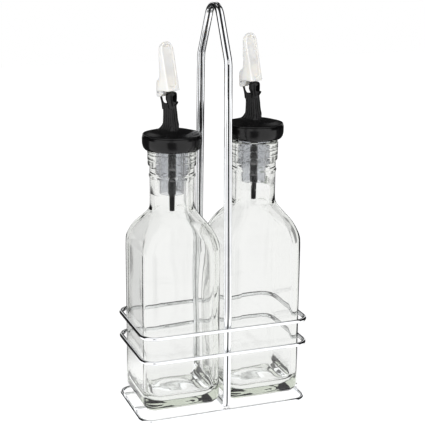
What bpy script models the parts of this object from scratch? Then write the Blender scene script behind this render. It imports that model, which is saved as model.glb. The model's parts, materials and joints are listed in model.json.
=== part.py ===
"""Cruet set: two square glass bottles with lever pourers, on a chrome wire stand with a tall handle.

Axes: +X along the stand, +Y to the back, +Z up. The origin is on the table, under the middle of the stand.
The lengths below are in millimetres.
"""

import math

import bmesh
import bpy
from mathutils import Matrix, Vector

MM = 0.001
GAP = 0.3  # air between neighbouring pieces

# Stand, all of one round wire
WIRE = 3.0
WIRE_SIDES = 8
BASE = (64.5, 32.0, 9.0)  # half length, half depth and corner radius of the wire's centreline
RAIL = (63.5, 35.3, 10.0)
RAIL_HEIGHTS = {"lower_rail": 48.0, "upper_rail": 66.5}
HANDLE_X = (WIRE + GAP) / 2
FOOT_Z = WIRE * 1.5 + GAP  # the wires that lie on the base loop
LEG_Y = 32.0
LEG_STRAIGHT_Z = 74.0
BEND = (27.6, 259.5, 14.0)  # where a leg turns inwards: y, z, radius
PEAK_Z = 311.7  # where the two slopes would meet without the rounding
PEAK_RADIUS = 12.9
BAR_Y = 13.5
BAR_ENDS = (HANDLE_X + WIRE / 2 + GAP, 65.5)

# Bottle
BOTTLE_X = 31.7
BOTTLE_Z = FOOT_Z + WIRE / 2 + GAP
BODY_HALF = 29.25
BODY_CORNER = 9.0
HEEL = 6.0
WALL = 3.0
FLOOR_THICKNESS = 7.0
ARC_POINTS = 6
NECK_R = 16.2
BORE_R = 12.5
FINISH_R = 17.8
MOUTH_Z = 198.6
# half width, corner radius, height
SHOULDER = (
    (29.25, 9.0, 122.0),
    (28.95, 9.3, 128.5),
    (27.4, 10.6, 134.0),
    (24.9, 11.9, 139.5),
    (21.3, 13.7, 144.5),
    (18.2, 15.2, 149.0),
    (16.7, 16.4, 152.5),
    (16.25, 16.25, 155.8),
    (16.2, 16.2, 159.5),
    (16.2, 16.2, 164.0),
)
INNER_SHOULDER = (
    (12.5, 12.5, 170.0),
    (12.6, 12.6, 157.0),
    (12.8, 12.8, 153.0),
    (13.5, 13.0, 149.9),
    (15.7, 12.3, 146.4),
    (18.7, 11.1, 142.3),
    (21.5, 9.8, 138.2),
    (23.8, 8.6, 134.0),
    (25.3, 7.5, 129.6),
    (26.1, 6.6, 125.6),
    (26.25, 6.0, 122.0),
)

# Pourer: heights are for one that is pressed home
POUR_ANGLE = math.radians(-62.5)
RIGHT_LIFT = 4.5  # the right pourer isn't pressed home
SKIRT_R = FINISH_R + GAP
COLLAR_BORE_R = 15.8
COLLAR_Z = (196.0, 205.9)
SEAT_Z = MOUTH_Z + GAP
PLUG_R = 9.1
PLUG_Z = 163.7
RIB_R = 12.1
RIB_PITCH = 5.1
RIB_COUNT = 6
RIB_TOP_Z = 196.0
FLANGE = 2.0
TUBE_R = 2.9
TUBE_FLANGE = (6.0, 1.2)  # radius, thickness
TIP_Z = 149.8
TIP_R = 1.75
TIP_BORE_R = 1.1
CAP_Z = COLLAR_Z[1] + GAP
CAP_R = 21.3
CAP_PLUG = 3.5  # how far the cap goes down inside the collar
FLUTES = (-58, -20, 20, 58)  # degrees round the front of the spout
FLUTE_R = 0.55
FLUTE_LEAN = math.radians(-7.5)
PIN_S = -11.4
PIN_Z = 235.5
PIN_R = 0.7
PIN_HALF = 2.6
EYE_R = 1.7
PRONG_T = 0.9
FLAP_T = 6.1

for old in list(bpy.data.objects):
    bpy.data.objects.remove(old, do_unlink=True)


def new_collection(name):
    made = bpy.data.collections.new(name)
    bpy.context.scene.collection.children.link(made)
    return made


PARTS = new_collection("cruet_set")
CUTTERS = new_collection("cutters")


def principled(name, colour, roughness, metallic=0.0, transmission=0.0):
    material = bpy.data.materials.new(name)
    material.use_nodes = True
    shader = material.node_tree.nodes["Principled BSDF"]
    shader.inputs["Base Color"].default_value = (*colour, 1.0)
    shader.inputs["Roughness"].default_value = roughness
    shader.inputs["Metallic"].default_value = metallic
    shader.inputs["Transmission Weight"].default_value = transmission
    material.diffuse_color = (*colour, 1.0)
    return material


CHROME = (0.78, 0.79, 0.80)
GLASS = (0.86, 0.93, 0.90)
DARK = (0.035, 0.034, 0.033)
MILKY = (0.90, 0.88, 0.84)
FROSTED = (0.62, 0.63, 0.63)
STEEL = (0.60, 0.60, 0.60)


def place(obj, frame, material):
    """Links obj at frame: a part with its own material, or a hidden cutter where material is None."""
    obj.matrix_world = frame
    if material:
        PARTS.objects.link(obj)
        obj.data.materials.append(material)
    else:
        CUTTERS.objects.link(obj)
        obj.hide_render = True
        obj.display_type = "WIRE"
    return obj


def scaled(points):
    return [Vector(p) * MM for p in points]


def turned(name, profile, steps, frame, material, is_open=False):
    """A body turned about local Z from a profile of (radius, z) that runs down its outer side."""
    mesh = bpy.data.meshes.new(name)
    count = len(profile)
    edges = [(i, (i + 1) % count) for i in range(count - 1 if is_open else count)]
    mesh.from_pydata(scaled((r, 0.0, z) for r, z in profile), edges, [])
    obj = place(bpy.data.objects.new(name, mesh), frame, material)
    screw = obj.modifiers.new("Turn", "SCREW")
    screw.axis = "Z"
    screw.steps = steps
    screw.render_steps = steps
    screw.use_merge_vertices = True
    screw.merge_threshold = 0.00001
    screw.use_smooth_shade = True
    return obj


def rounded_path(corners, step=math.radians(16)):
    """The points of a closed path whose corners are (u, v, rounding radius)."""
    points = []
    count = len(corners)
    for i, (u, v, radius) in enumerate(corners):
        here = Vector((u, v))
        before = (Vector(corners[i - 1][:2]) - here).normalized()
        after = (Vector(corners[(i + 1) % count][:2]) - here).normalized()
        turn = math.pi - before.angle(after)
        if radius == 0:
            points.append(here)
            continue
        middle = here + (before + after).normalized() * radius / math.cos(turn / 2)
        spoke = here + before * radius * math.tan(turn / 2) - middle
        side = 1 if before.x * after.y - before.y * after.x < 0 else -1
        pieces = max(1, math.ceil(turn / step))
        for k in range(pieces + 1):
            points.append(middle + Matrix.Rotation(side * turn * k / pieces, 2) @ spoke)
    return points


def wire(name, path, frame, material, is_loop=True):
    """Round wire along path, in the local XY plane, with flats on its four sides."""
    curve = bpy.data.curves.new(name, "CURVE")
    curve.dimensions = "3D"
    curve.twist_mode = "Z_UP"
    curve.bevel_depth = WIRE / 2 / math.cos(math.pi / WIRE_SIDES) * MM
    curve.bevel_resolution = (WIRE_SIDES - 4) // 2
    curve.use_fill_caps = not is_loop
    spline = curve.splines.new("POLY")
    spline.points.add(len(path) - 1)
    for point, (u, v) in zip(spline.points, path):
        point.co = (u * MM, v * MM, 0.0, 1.0)
        point.tilt = math.pi / WIRE_SIDES
    spline.use_cyclic_u = is_loop
    spline.use_smooth = True
    return place(bpy.data.objects.new(name, curve), frame, material)


def rectangle(half_u, half_v, radius):
    return [
        (half_u, half_v, radius),
        (-half_u, half_v, radius),
        (-half_u, -half_v, radius),
        (half_u, -half_v, radius),
    ]


def plate(name, outline, half_t, frame, material=None, rounding=0.0):
    """A plate in the local XZ plane, half_t thick to each side, with its long edges rounded."""
    mesh = bpy.data.meshes.new(name)
    mesh.from_pydata(scaled((s, 0.0, z) for s, z in outline), [], [range(len(outline))])
    obj = place(bpy.data.objects.new(name, mesh), frame, material)
    solidify = obj.modifiers.new("Thickness", "SOLIDIFY")
    solidify.thickness = 2 * half_t * MM
    solidify.offset = 0.0
    if rounding:
        bevel = obj.modifiers.new("Rounding", "BEVEL")
        bevel.width = rounding * MM
        bevel.segments = 2
        bevel.limit_method = "ANGLE"
        bevel.angle_limit = math.radians(50)
    return obj


def cylinder(name, radius, half_length, sides, frame, material=None):
    mesh = bpy.data.meshes.new(name)
    shape = bmesh.new()
    bmesh.ops.create_cone(
        shape,
        cap_ends=True,
        segments=sides,
        radius1=radius * MM,
        radius2=radius * MM,
        depth=2 * half_length * MM,
    )
    shape.to_mesh(mesh)
    shape.free()
    return place(bpy.data.objects.new(name, mesh), frame, material)


def combine(obj, other, operation):
    boolean = obj.modifiers.new(other.name, "BOOLEAN")
    boolean.operation = operation
    boolean.solver = "EXACT"
    boolean.object = other


def shift(s, t, z):
    return Matrix.Translation(Vector((s, t, z)) * MM)


ACROSS = Matrix.Rotation(math.pi / 2, 4, "X")


# ---------------------------------------------------------------- stand
def build_stand():
    loop = rounded_path(rectangle(*BASE))
    wire("base_loop", loop, shift(0, 0, WIRE / 2), principled("base_loop", CHROME, 0.12, 1.0))
    for name, height in RAIL_HEIGHTS.items():
        loop = rounded_path(rectangle(*RAIL))
        wire(name, loop, shift(0, 0, height), principled(name, CHROME, 0.12, 1.0))

    half = [(LEG_Y, FOOT_Z, 3.5), (LEG_Y, LEG_STRAIGHT_Z, 0.0), BEND]
    mirrored = [(-y, z, radius) for y, z, radius in reversed(half)]
    path = rounded_path([*half, (0.0, PEAK_Z, PEAK_RADIUS), *mirrored])
    upright = Matrix(((0, 0, 1, 0), (1, 0, 0, 0), (0, 1, 0, 0), (0, 0, 0, 1)))
    for side, name in ((-1, "handle_wire_left"), (1, "handle_wire_right")):
        material = principled(name, CHROME, 0.12, 1.0)
        wire(name, path, shift(side * HANDLE_X, 0, 0) @ upright, material)

    for side, word in ((-1, "left"), (1, "right")):
        for depth, end in ((-1, "front"), (1, "back")):
            name = f"floor_bar_{word}_{end}"
            ends = [(side * x, depth * BAR_Y) for x in BAR_ENDS]
            material = principled(name, CHROME, 0.12, 1.0)
            wire(name, ends, shift(0, 0, FOOT_Z), material, is_loop=False)


# ---------------------------------------------------------------- bottle
def ring(half, corner, z):
    """A square of this half width with round corners. It is a circle where the two are equal."""
    inset = math.pi / 4 / ARC_POINTS * (corner / half) ** 2
    points = []
    for quarter in range(4):
        turn = Matrix.Rotation(quarter * math.pi / 2, 2)
        for k in range(ARC_POINTS):
            angle = inset + (math.pi / 2 - 2 * inset) * k / (ARC_POINTS - 1)
            corner_point = Vector((math.cos(angle), math.sin(angle))) * corner
            x, y = turn @ (corner_point + Vector((half - corner, half - corner)))
            points.append((x, y, z))
    return points


def heel_sections(half, corner, floor_z, radius, steps):
    """The rounding between a flat bottom and the side, from the inside out."""
    sections = []
    for k in range(steps + 1):
        angle = math.pi / 2 * k / steps
        inwards = radius * (1 - math.sin(angle))
        height = floor_z + radius * (1 - math.cos(angle))
        sections.append((half - inwards, max(corner - inwards, 3.0), height))
    return sections


def bottle_sections():
    """Every section of the glass, from under the bottom, up the outside and down the inside."""
    low = [(12.0, 7.0, BOTTLE_Z + 1.4), (20.0, 6.5, BOTTLE_Z + 0.5)]
    outside = heel_sections(BODY_HALF, BODY_CORNER, BOTTLE_Z, HEEL, 4)
    finish = [
        (NECK_R, 175.2),
        (NECK_R + 0.7, 176.3),
        (NECK_R + 0.7, 177.3),
        (NECK_R, 178.4),
        (NECK_R, 183.2),
        (FINISH_R - 0.2, 185.5),
        (FINISH_R - 0.2, 187.4),
        (FINISH_R - 0.8, 188.1),
        (FINISH_R, 188.9),
        (FINISH_R, 192.8),
        (FINISH_R - 0.8, 193.5),
        (FINISH_R, 194.3),
        (FINISH_R, 197.5),
        (FINISH_R - 0.9, MOUTH_Z),
        (BORE_R + 0.9, MOUTH_Z),
        (BORE_R, MOUTH_Z - 0.9),
    ]
    neck = [(r, r, z) for r, z in finish]
    inner_floor = BOTTLE_Z + FLOOR_THICKNESS
    inside = heel_sections(BODY_HALF - WALL, BODY_CORNER - WALL, inner_floor, 8.0, 3)
    return [*low, *outside, *SHOULDER, *neck, *INNER_SHOULDER, *reversed(inside)]


def build_bottle(side, word):
    name = f"bottle_{word}"
    sections = bottle_sections()
    size = 4 * ARC_POINTS
    points = [point for section in sections for point in ring(*section)]
    faces = []
    for i in range(len(sections) - 1):
        for k in range(size):
            after = (k + 1) % size
            low, high = i * size, (i + 1) * size
            faces.append((low + k, low + after, high + after, high + k))
    start, end = len(points), len(points) + 1
    points.append((0.0, 0.0, BOTTLE_Z + 1.6))
    points.append((0.0, 0.0, BOTTLE_Z + FLOOR_THICKNESS - 0.3))
    last = (len(sections) - 1) * size
    for k in range(size):
        after = (k + 1) % size
        faces.append((start, after, k))
        faces.append((end, last + k, last + after))
    mesh = bpy.data.meshes.new(name)
    mesh.from_pydata(scaled(points), [], faces)
    for face in mesh.polygons:
        face.use_smooth = True
    material = principled(name, GLASS, 0.02, transmission=1.0)
    place(bpy.data.objects.new(name, mesh), shift(side * BOTTLE_X, 0, 0), material)


# ---------------------------------------------------------------- pourer
def build_collar(word, frame):
    low, high = COLLAR_Z
    profile = [
        (CAP_R, high),
        (21.6, high - 0.5),
        (21.6, 200.4),
        (21.4, 198.4),
        (20.8, 197.2),
        (19.6, low),
        (SKIRT_R, low),
        (SKIRT_R, SEAT_Z),
        (COLLAR_BORE_R, SEAT_Z),
        (COLLAR_BORE_R, high),
    ]
    name = f"collar_ring_{word}"
    turned(name, profile, 32, frame, principled(name, DARK, 0.32))


def build_stopper(word, frame):
    profile = [
        (COLLAR_BORE_R - GAP, SEAT_Z + FLANGE),
        (COLLAR_BORE_R - GAP, SEAT_Z),
        (PLUG_R, SEAT_Z),
    ]
    for k in range(RIB_COUNT):
        top = RIB_TOP_Z - k * RIB_PITCH
        profile += [(PLUG_R, top), (RIB_R, top - 0.3), (RIB_R, top - 1.0), (PLUG_R, top - 1.5)]
    profile += [
        (PLUG_R, PLUG_Z + 0.7),
        (PLUG_R - 0.7, PLUG_Z),
        (TUBE_R + GAP, PLUG_Z),
        (TUBE_R + GAP, SEAT_Z + FLANGE),
    ]
    name = f"stopper_{word}"
    turned(name, profile, 20, frame, principled(name, FROSTED, 0.35, transmission=0.6))


def build_pour_tube(word, frame):
    low = SEAT_Z + FLANGE + GAP
    flange_r, thickness = TUBE_FLANGE
    profile = [
        (flange_r, low + thickness),
        (flange_r, low),
        (TUBE_R, low),
        (TUBE_R, PLUG_Z - GAP),
        (TIP_R + 0.25, PLUG_Z - GAP),
        (TIP_R, TIP_Z),
        (TIP_BORE_R, TIP_Z),
        (TIP_BORE_R, low + thickness),
    ]
    name = f"pour_tube_{word}"
    turned(name, profile, 16, frame, principled(name, DARK, 0.4))


def limb(name, centreline, sides, frame):
    """A capped round limb along (s, z, radius), as a mesh that a Boolean can take."""
    curve = bpy.data.curves.new(name, "CURVE")
    curve.dimensions = "3D"
    curve.bevel_depth = MM
    curve.bevel_resolution = (sides - 4) // 2
    curve.use_fill_caps = True
    spline = curve.splines.new("POLY")
    spline.points.add(len(centreline) - 1)
    for point, (s, z, radius) in zip(spline.points, centreline):
        point.co = (s * MM, 0.0, z * MM, 1.0)
        point.radius = radius
    guide = bpy.data.objects.new(name, curve)
    graph = bpy.context.evaluated_depsgraph_get()
    mesh = bpy.data.meshes.new_from_object(guide.evaluated_get(graph), depsgraph=graph)
    bpy.data.objects.remove(guide)
    shape = bmesh.new()
    shape.from_mesh(mesh)
    bmesh.ops.remove_doubles(shape, verts=shape.verts, dist=0.000001)
    bmesh.ops.recalc_face_normals(shape, faces=shape.faces)
    for face in shape.faces:
        face.smooth = True
    shape.to_mesh(mesh)
    shape.free()
    return place(bpy.data.objects.new(name, mesh), frame, None)


def build_spout_cap(word, frame):
    name = f"spout_cap_{word}"
    dome = [
        (0.0, 209.8),
        (9.0, 209.2),
        (15.0, 208.4),
        (19.0, 207.5),
        (20.7, 206.9),
        (CAP_R, CAP_Z),
        (COLLAR_BORE_R - GAP, CAP_Z),
        (COLLAR_BORE_R - GAP, CAP_Z - CAP_PLUG),
        (0.0, CAP_Z - CAP_PLUG),
    ]
    cap = turned(name, dome, 32, frame, principled(name, DARK, 0.32), is_open=True)

    tube = [
        (-0.6, 206.5, 8.6),
        (-0.5, 208.8, 7.8),
        (0.6, 210.4, 5.6),
        (1.6, 212.2, 4.3),
        (2.1, 214.4, 3.6),
        (1.3, 221.6, 3.1),
        (0.5, 228.0, 2.95),
        (-0.2, 229.6, 3.6),
        (-0.6, 231.5, 4.05),
        (-0.6, 233.6, 4.05),
        (-0.6, 234.8, 3.6),
        (-0.6, 235.6, 2.4),
    ]
    combine(cap, limb(f"spout_{word}", tube, 20, frame), "UNION")

    prong = [
        (0.5, 207.4),
        (0.5, 228.0),
        (-7.4, 228.0),
        (-8.6, 228.6),
        (-9.5, 229.9),
        (-10.3, 232.4),
    ]
    for k in range(9):
        angle = math.radians(-10 + k * 25)
        prong.append((PIN_S + EYE_R * math.cos(angle), PIN_Z + EYE_R * math.sin(angle)))
    prong += [
        (-11.6, 232.4),
        (-10.5, 229.6),
        (-9.5, 226.5),
        (-8.4, 221.6),
        (-8.4, 215.5),
        (-9.4, 212.6),
        (-11.3, 210.4),
        (-14.2, 208.4),
        (-14.2, 207.4),
    ]
    combine(cap, plate(f"prong_{word}", prong, PRONG_T, frame), "UNION")

    lip = [(1.0, 226.4), (2.8, 226.6), (4.6, 229.0), (4.9, 229.9), (1.0, 229.9)]
    combine(cap, plate(f"lip_{word}", lip, 1.6, frame), "UNION")

    bore = [(1.2, 200.0, 2.0), (1.9, 212.0, 2.0), (1.3, 221.6, 1.9), (0.5, 228.0, 1.9), (-0.2, 233.9, 2.0)]
    combine(cap, limb(f"bore_{word}", bore, 12, frame), "DIFFERENCE")

    mouth = [(0.3, 230.5), (9.0, 230.5), (9.0, 234.2), (0.3, 234.2)]
    combine(cap, plate(f"mouth_{word}", mouth, 2.1, frame), "DIFFERENCE")

    for k, degrees in enumerate(FLUTES):
        round_front = Matrix.Rotation(math.radians(degrees), 4, "Z") @ shift(3.45, 0, 0)
        middle = frame @ shift(1.45, 0, 219.5) @ round_front
        lean = Matrix.Rotation(math.radians(-degrees), 4, "Z") @ Matrix.Rotation(FLUTE_LEAN, 4, "Y")
        combine(cap, cylinder(f"flute_{word}_{k}", FLUTE_R, 6.0, 8, middle @ lean), "DIFFERENCE")

    hinge = frame @ shift(PIN_S, 0, PIN_Z) @ ACROSS
    combine(cap, cylinder(f"eye_{word}", PIN_R + GAP, 6.0, 16, hinge), "DIFFERENCE")


def build_flap(word, frame):
    """The lever. Its origin is on the hinge."""
    name = f"flap_{word}"
    hinge = frame @ shift(PIN_S, 0, PIN_Z)
    blade = [
        (13.0, 1.9),
        (13.2, 3.0),
        (6.9, 32.3),
        (6.2, 34.9),
        (5.3, 35.8),
        (4.4, 34.9),
        (4.1, 31.5),
        (4.6, 10.5),
        (3.8, 7.6),
        (2.8, 5.4),
        (2.8, 1.9),
    ]
    material = principled(name, MILKY, 0.3, transmission=0.25)
    flap = plate(name, blade, FLAP_T, hinge, material, rounding=0.7)

    ear = [
        (5.0, 12.5),
        (2.8, 11.5),
        (0.6, 9.8),
        (-1.2, 8.1),
        (-1.8, 6.6),
        (-1.8, -2.2),
        (-1.2, -3.2),
        (0.0, -3.5),
        (2.4, -3.0),
        (3.6, -2.2),
        (4.3, -1.0),
        (4.6, 0.8),
        (5.0, 2.6),
    ]
    combine(flap, plate(f"ear_{word}", ear, 2.6, hinge), "UNION")

    slot = [(-6.0, -6.0), (2.8, -6.0), (2.8, 2.6), (-6.0, 2.6)]
    combine(flap, plate(f"slot_{word}", slot, PRONG_T + GAP, hinge), "DIFFERENCE")

    front = [(14.6, 5.2), (11.8, 5.2), (5.9, 32.2), (8.4, 32.2)]
    combine(flap, plate(f"recess_{word}", front, 4.6, hinge), "DIFFERENCE")

    back = [(10.7, 5.0), (5.8, 27.6), (0.5, 27.6), (0.5, 14.2), (6.2, 13.0), (6.2, 5.0)]
    combine(flap, plate(f"pocket_{word}", back, 4.5, hinge), "DIFFERENCE")
    combine(flap, cylinder(f"hinge_{word}", PIN_R + GAP, 6.0, 16, hinge @ ACROSS), "DIFFERENCE")

    name = f"hinge_pin_{word}"
    pin = cylinder(name, PIN_R, PIN_HALF, 12, hinge @ ACROSS, principled(name, STEEL, 0.3, 1.0))
    for face in pin.data.polygons:
        face.use_smooth = len(face.vertices) == 4


def build_pourer(side, word, lift):
    frame = shift(side * BOTTLE_X, 0, lift) @ Matrix.Rotation(POUR_ANGLE, 4, "Z")
    build_collar(word, frame)
    build_stopper(word, frame)
    build_pour_tube(word, frame)
    build_spout_cap(word, frame)
    build_flap(word, frame)


build_stand()
for side, word, lift in ((-1, "left", 0.0), (1, "right", RIGHT_LIFT)):
    build_bottle(side, word)
    build_pourer(side, word, lift)
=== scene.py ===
"""Looks of the cruet set: clear glass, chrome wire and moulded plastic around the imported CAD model.

Shapes are in millimetres, in the model's frame or in a pourer's own frame, and become metres when they
are made. A pourer's own frame has s towards the pouring side, t across it and z up, on its bottle's axis.
"""

import json
import math

import bmesh
import bpy
from mathutils import Matrix, Vector, noise


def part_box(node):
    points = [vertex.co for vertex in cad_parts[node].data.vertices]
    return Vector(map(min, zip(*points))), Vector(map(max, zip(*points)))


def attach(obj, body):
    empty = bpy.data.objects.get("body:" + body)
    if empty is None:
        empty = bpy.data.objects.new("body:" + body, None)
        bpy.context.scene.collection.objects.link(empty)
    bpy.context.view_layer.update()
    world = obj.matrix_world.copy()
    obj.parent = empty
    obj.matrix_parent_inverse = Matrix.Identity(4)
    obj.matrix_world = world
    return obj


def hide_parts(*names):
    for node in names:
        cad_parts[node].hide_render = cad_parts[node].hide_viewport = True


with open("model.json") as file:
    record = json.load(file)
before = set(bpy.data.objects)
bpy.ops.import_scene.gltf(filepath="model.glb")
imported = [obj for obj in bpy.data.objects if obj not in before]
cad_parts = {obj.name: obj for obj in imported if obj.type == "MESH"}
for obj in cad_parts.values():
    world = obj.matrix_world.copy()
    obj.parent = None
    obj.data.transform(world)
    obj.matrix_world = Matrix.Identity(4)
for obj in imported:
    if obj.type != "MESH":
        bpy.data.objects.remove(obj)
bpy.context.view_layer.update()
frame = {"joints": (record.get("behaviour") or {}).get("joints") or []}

MM = 0.001
SIDES = ("left", "right")
ENDS = ("front", "back")
COLLECTION = bpy.data.collections.new("cruet_set_looks")
bpy.context.scene.collection.children.link(COLLECTION)


def box_mm(node):
    """The lowest and highest corners of a node in millimetres."""
    low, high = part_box(node)
    return low / MM, high / MM


# ------------------------------------------------------------------ materials
def new_material(name):
    material = bpy.data.materials.new(name)
    material.use_nodes = True
    tree = material.node_tree
    return material, tree, tree.nodes["Principled BSDF"]


def noise_texture(tree, scale, detail=3.0, stretch=(1.0, 1.0, 1.0)):
    """Noise in the object's own space. scale is in cycles a metre."""
    coordinates = tree.nodes.new("ShaderNodeTexCoord")
    mapping = tree.nodes.new("ShaderNodeMapping")
    mapping.inputs["Scale"].default_value = stretch
    texture = tree.nodes.new("ShaderNodeTexNoise")
    texture.inputs["Scale"].default_value = scale
    texture.inputs["Detail"].default_value = detail
    tree.links.new(coordinates.outputs["Object"], mapping.inputs["Vector"])
    tree.links.new(mapping.outputs["Vector"], texture.inputs["Vector"])
    return texture.outputs["Fac"]


NOISE_SPAN = (0.3, 0.7)  # where most of a noise's values lie
BLEND_SPAN = (0.35, 0.65)


def spread(tree, source, low, high, target):
    """Drives target from a noise, from low to high over the noise's usual span."""
    span = tree.nodes.new("ShaderNodeMapRange")
    span.inputs["From Min"].default_value = NOISE_SPAN[0]
    span.inputs["From Max"].default_value = NOISE_SPAN[1]
    span.inputs["To Min"].default_value = low
    span.inputs["To Max"].default_value = high
    tree.links.new(source, span.inputs["Value"])
    tree.links.new(span.outputs["Result"], target)


def blend_colours(tree, source, first, second, target):
    """Drives target from a noise, from the first colour to the second."""
    ramp = tree.nodes.new("ShaderNodeValToRGB")
    for element, position, colour in zip(ramp.color_ramp.elements, BLEND_SPAN, (first, second)):
        element.position = position
        element.color = (*colour, 1.0)
    tree.links.new(source, ramp.inputs["Fac"])
    tree.links.new(ramp.outputs["Color"], target)


def roughen(tree, shader, source, depth_mm, strength):
    """Bumps from a noise, depth_mm deep at a strength of 1."""
    bump = tree.nodes.new("ShaderNodeBump")
    bump.inputs["Distance"].default_value = depth_mm * MM
    bump.inputs["Strength"].default_value = strength
    tree.links.new(source, bump.inputs["Height"])
    tree.links.new(bump.outputs["Normal"], shader.inputs["Normal"])


def absorb(tree, colour, density):
    """Tints what passes through the solid. density is per metre."""
    tint = tree.nodes.new("ShaderNodeVolumeAbsorption")
    tint.inputs["Color"].default_value = (*colour, 1.0)
    tint.inputs["Density"].default_value = density
    tree.links.new(tint.outputs["Volume"], tree.nodes["Material Output"].inputs["Volume"])


def chrome_material():
    material, tree, shader = new_material("chrome")
    shader.inputs["Metallic"].default_value = 1.0
    haze = noise_texture(tree, 90.0, 4.0)
    blend_colours(tree, haze, (0.90, 0.91, 0.92), (0.82, 0.83, 0.85), shader.inputs["Base Color"])
    spread(tree, haze, 0.015, 0.05, shader.inputs["Roughness"])
    roughen(tree, shader, noise_texture(tree, 160.0, 2.0), 0.02, 0.12)
    return material


def weld_material():
    material, tree, shader = new_material("chrome_weld")
    shader.inputs["Metallic"].default_value = 1.0
    grain = noise_texture(tree, 900.0, 4.0)
    blend_colours(tree, grain, (0.55, 0.54, 0.53), (0.86, 0.86, 0.87), shader.inputs["Base Color"])
    spread(tree, grain, 0.12, 0.32, shader.inputs["Roughness"])
    roughen(tree, shader, grain, 0.15, 0.6)
    return material


# Near-black metal for the strip between the two handle wires: painted shade in the crevice where they shade
# each other.
def painted_shade_strip_material():
    material, tree, shader = new_material("painted_crevice_shade")
    shader.inputs["Metallic"].default_value = 1.0
    grain = noise_texture(tree, 700.0, 3.0)
    blend_colours(tree, grain, (0.02, 0.02, 0.021), (0.07, 0.07, 0.072), shader.inputs["Base Color"])
    spread(tree, grain, 0.25, 0.45, shader.inputs["Roughness"])
    roughen(tree, shader, grain, 0.05, 0.4)
    return material


def glass_material():
    material, tree, shader = new_material("clear_glass")
    shader.inputs["Base Color"].default_value = (1.0, 1.0, 1.0, 1.0)
    shader.inputs["Transmission Weight"].default_value = 1.0
    shader.inputs["IOR"].default_value = 1.52
    spread(tree, noise_texture(tree, 60.0, 3.0), 0.0, 0.02, shader.inputs["Roughness"])
    roughen(tree, shader, noise_texture(tree, 55.0, 2.0, (1.0, 1.0, 0.6)), 0.25, 0.12)
    absorb(tree, (0.56, 0.67, 0.42), 10.0)
    return material


def dark_plastic_material():
    material, tree, shader = new_material("dark_satin_plastic")
    mottle = noise_texture(tree, 160.0, 4.0)
    darkest, palest = (0.003, 0.0029, 0.0031), (0.006, 0.0057, 0.0062)
    blend_colours(tree, mottle, darkest, palest, shader.inputs["Base Color"])
    spread(tree, mottle, 0.15, 0.22, shader.inputs["Roughness"])
    shader.inputs["IOR"].default_value = 1.37
    roughen(tree, shader, noise_texture(tree, 2600.0, 3.0), 0.03, 0.22)
    return material


def tube_material():
    material, tree, shader = new_material("black_tube_plastic")
    streak = noise_texture(tree, 500.0, 3.0, (1.0, 1.0, 0.15))
    blend_colours(tree, streak, (0.003, 0.003, 0.0033), (0.007, 0.007, 0.0075), shader.inputs["Base Color"])
    spread(tree, streak, 0.3, 0.42, shader.inputs["Roughness"])
    shader.inputs["IOR"].default_value = 1.2
    roughen(tree, shader, streak, 0.03, 0.3)
    return material


def stopper_material():
    material, tree, shader = new_material("translucent_stopper")
    cloud = noise_texture(tree, 120.0, 2.0)
    blend_colours(tree, cloud, (0.78, 0.79, 0.82), (0.84, 0.85, 0.87), shader.inputs["Base Color"])
    spread(tree, cloud, 0.03, 0.06, shader.inputs["Roughness"])
    shader.inputs["Transmission Weight"].default_value = 0.97
    shader.inputs["IOR"].default_value = 1.22
    absorb(tree, (0.50, 0.51, 0.55), 75.0)
    roughen(tree, shader, noise_texture(tree, 300.0, 1.0), 0.02, 0.15)
    return material


def flap_material():
    material, tree, shader = new_material("milky_plastic")
    cloud = noise_texture(tree, 120.0, 3.0)
    blend_colours(tree, cloud, (0.91, 0.885, 0.84), (0.95, 0.93, 0.89), shader.inputs["Base Color"])
    spread(tree, cloud, 0.28, 0.4, shader.inputs["Roughness"])
    shader.inputs["Transmission Weight"].default_value = 0.12
    shader.inputs["IOR"].default_value = 1.4
    shader.inputs["Subsurface Weight"].default_value = 0.5
    shader.inputs["Subsurface Radius"].default_value = (1.0, 0.9, 0.75)
    shader.inputs["Subsurface Scale"].default_value = 0.004
    roughen(tree, shader, noise_texture(tree, 1800.0, 2.0), 0.03, 0.3)
    return material


def pin_material():
    material, tree, shader = new_material("drawn_steel")
    shader.inputs["Metallic"].default_value = 1.0
    lines = noise_texture(tree, 1500.0, 3.0, (1.0, 1.0, 0.1))
    blend_colours(tree, lines, (0.50, 0.50, 0.51), (0.66, 0.66, 0.67), shader.inputs["Base Color"])
    spread(tree, lines, 0.2, 0.38, shader.inputs["Roughness"])
    roughen(tree, shader, lines, 0.02, 0.4)
    return material


# ------------------------------------------------------------------ mesh tools
def skin(rings, start=None, end=None, joined=False):
    """Vertices and faces of a surface through closed rings. start and end are points that close it."""
    size = len(rings[0])
    count = len(rings)
    vertices = [point for ring in rings for point in ring]
    faces = []
    for i in range(count if joined else count - 1):
        low, high = i * size, (i + 1) % count * size
        for k in range(size):
            after = (k + 1) % size
            faces.append((low + k, low + after, high + after, high + k))
    for base, tip in ((0, start), ((count - 1) * size, end)):
        if tip is not None:
            vertices.append(tip)
            faces += [(base + k, base + (k + 1) % size, len(vertices) - 1) for k in range(size)]
    return vertices, faces


def new_mesh(name, shells, crease=40.0):
    """A mesh of closed shells, each (vertices, faces), smooth apart from edges sharper than crease."""
    shape = bmesh.new()
    for vertices, faces in shells:
        made = [shape.verts.new(Vector(v) * MM) for v in vertices]
        for face in faces:
            shape.faces.new([made[k] for k in face])
    bmesh.ops.recalc_face_normals(shape, faces=shape.faces)
    mesh = bpy.data.meshes.new(name)
    shape.to_mesh(mesh)
    shape.free()
    mesh.shade_smooth()
    mesh.set_sharp_from_angle(angle=math.radians(crease))
    return mesh


def add_piece(name, mesh, place, material, body, slot, *nodes):
    """A visible piece that rides on body and stands for the CAD nodes."""
    piece = bpy.data.objects.new(name, mesh)
    COLLECTION.objects.link(piece)
    piece.matrix_world = place
    mesh.materials.clear()
    mesh.materials.append(material)
    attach(piece, body)
    if nodes:
        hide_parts(*nodes)
    return piece


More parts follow.
